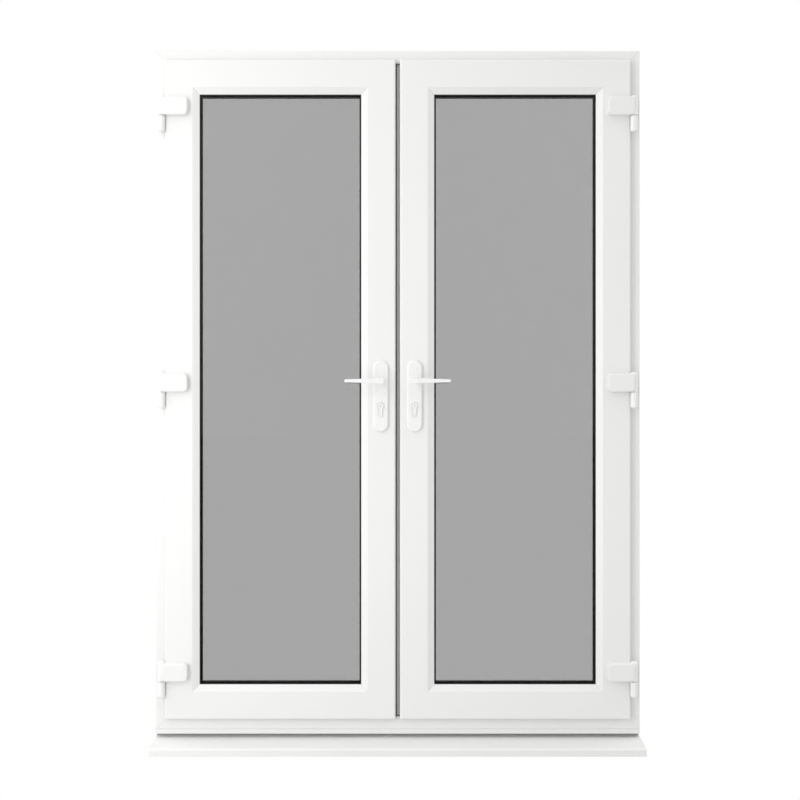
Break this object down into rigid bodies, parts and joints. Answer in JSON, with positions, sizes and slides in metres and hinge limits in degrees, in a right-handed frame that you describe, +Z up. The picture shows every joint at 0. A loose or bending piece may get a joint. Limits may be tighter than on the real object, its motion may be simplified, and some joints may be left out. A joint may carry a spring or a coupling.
{
  "type": "french doors",
  "caption": "Pair of outward-opening glazed doors in a white outer frame on a projecting cill, with lever handles, surface hinges and sliding shoot bolts.",
  "frame": {"origin": "centre of the cill's underside, in the plane of the frame's outer face", "axes": "+Z up, +Y from outside to inside, +X to the right seen from outside"},
  "size_m": [1.493, 0.1945, 2.144],
  "materials": {
    "frame_upvc": "smooth white, low sheen",
    "leaf_upvc": "smooth white, low sheen",
    "bead_upvc": "smooth white, low sheen",
    "cill_upvc": "smooth white, low sheen",
    "hinge_cover": "white moulded",
    "hinge_metal": "white powder coat",
    "handle_metal": "white powder coat, satin",
    "cylinder_metal": "pale satin",
    "steel": "galvanised",
    "rubber_seal": "matt black",
    "grey_seal": "matt grey, soft",
    "spacer": "matt black warm-edge bar",
    "glass": "clear float glass, grey from outside"
  },
  "bodies": {
    "root": {"frame_head": "frame_upvc", "frame_jamb_left": "frame_upvc", "frame_jamb_right": "frame_upvc", "frame_threshold": "frame_upvc", "frame_reinforcement": "steel", "frame_extension": "frame_upvc", "frame_seal": "rubber_seal", "cill": "cill_upvc", "cill_end_caps": "cill_upvc", "cill_seal": "grey_seal", "hinge_frame_leaves": "hinge_metal", "hinge_pins": "steel", "bolt_keeps": "steel"},
    "left_leaf": {"left_top_rail": "leaf_upvc", "left_bottom_rail": "leaf_upvc", "left_hinge_stile": "leaf_upvc", "left_meeting_stile": "leaf_upvc", "left_reinforcement": "steel", "left_outer_pane": "glass", "left_inner_pane": "glass", "left_spacer_bar": "spacer", "left_gaskets": "rubber_seal", "left_glazing_beads": "bead_upvc", "left_seal": "rubber_seal", "left_hinge_leaves": "hinge_metal", "left_hinge_covers": "hinge_cover", "left_outer_plate": "handle_metal", "left_inner_plate": "handle_metal", "left_lock_case": "steel", "left_cylinder": "cylinder_metal"},
    "left_handle": {"left_outer_lever": "handle_metal", "left_inner_lever": "handle_metal", "left_spindle": "steel"},
    "left_plug": {"left_cylinder_plug": "cylinder_metal"},
    "left_top_bolt": {"left_top_bolt": "steel"},
    "left_bottom_bolt": {"left_bottom_bolt": "steel"},
    "right_leaf": {"right_top_rail": "leaf_upvc", "right_bottom_rail": "leaf_upvc", "right_hinge_stile": "leaf_upvc", "right_meeting_stile": "leaf_upvc", "right_reinforcement": "steel", "right_outer_pane": "glass", "right_inner_pane": "glass", "right_spacer_bar": "spacer", "right_gaskets": "rubber_seal", "right_glazing_beads": "bead_upvc", "right_seal": "rubber_seal", "right_hinge_leaves": "hinge_metal", "right_hinge_covers": "hinge_cover", "right_outer_plate": "handle_metal", "right_inner_plate": "handle_metal", "right_lock_case": "steel", "right_cylinder": "cylinder_metal", "mullion_strip": "leaf_upvc"},
    "right_handle": {"right_outer_lever": "handle_metal", "right_inner_lever": "handle_metal", "right_spindle": "steel"},
    "right_plug": {"right_cylinder_plug": "cylinder_metal"},
    "right_top_bolt": {"right_top_bolt": "steel"},
    "right_bottom_bolt": {"right_bottom_bolt": "steel"}
  },
  "joints": [
    {"name": "left_leaf_hinge", "type": "hinge", "parent": "root", "child": "left_leaf", "pos_m": [-0.723, -0.024, 1.101], "axis": [0, 0, -1], "range_deg": [0, 100]},
    {"name": "left_lever_turn", "type": "hinge", "parent": "left_leaf", "child": "left_handle", "pos_m": [-0.052, 0.018, 1.127], "axis": [0, 1, 0], "range_deg": [-40, 40], "stiffness_Nm_per_rad": 2},
    {"name": "left_key_turn", "type": "hinge", "parent": "left_leaf", "child": "left_plug", "pos_m": [-0.052, 0.018, 1.051], "axis": [0, -1, 0], "range_deg": [0, 360]},
    {"name": "left_top_bolt_slide", "type": "slide", "parent": "left_leaf", "child": "left_top_bolt", "axis": [0, 0, 1], "range_m": [-0.02, 0.02]},
    {"name": "left_bottom_bolt_slide", "type": "slide", "parent": "left_leaf", "child": "left_bottom_bolt", "axis": [0, 0, -1], "range_m": [-0.02, 0.02]},
    {"name": "right_leaf_hinge", "type": "hinge", "parent": "root", "child": "right_leaf", "pos_m": [0.723, -0.024, 1.101], "axis": [0, 0, 1], "range_deg": [0, 100]},
    {"name": "right_lever_turn", "type": "hinge", "parent": "right_leaf", "child": "right_handle", "pos_m": [0.052, 0.018, 1.127], "axis": [0, -1, 0], "range_deg": [-40, 40], "stiffness_Nm_per_rad": 2},
    {"name": "right_key_turn", "type": "hinge", "parent": "right_leaf", "child": "right_plug", "pos_m": [0.052, 0.018, 1.051], "axis": [0, -1, 0], "range_deg": [0, 360]},
    {"name": "right_top_bolt_slide", "type": "slide", "parent": "right_leaf", "child": "right_top_bolt", "axis": [0, 0, 1], "range_m": [-0.02, 0.02]},
    {"name": "right_bottom_bolt_slide", "type": "slide", "parent": "right_leaf", "child": "right_bottom_bolt", "axis": [0, 0, -1], "range_m": [-0.02, 0.02]}
  ],
  "couplings": [
    {"joint": "left_top_bolt_slide", "follows": "left_lever_turn", "m_per_rad": 0.02864},
    {"joint": "left_bottom_bolt_slide", "follows": "left_lever_turn", "m_per_rad": 0.02864},
    {"joint": "right_top_bolt_slide", "follows": "right_lever_turn", "m_per_rad": 0.02864},
    {"joint": "right_bottom_bolt_slide", "follows": "right_lever_turn", "m_per_rad": 0.02864}
  ]
}
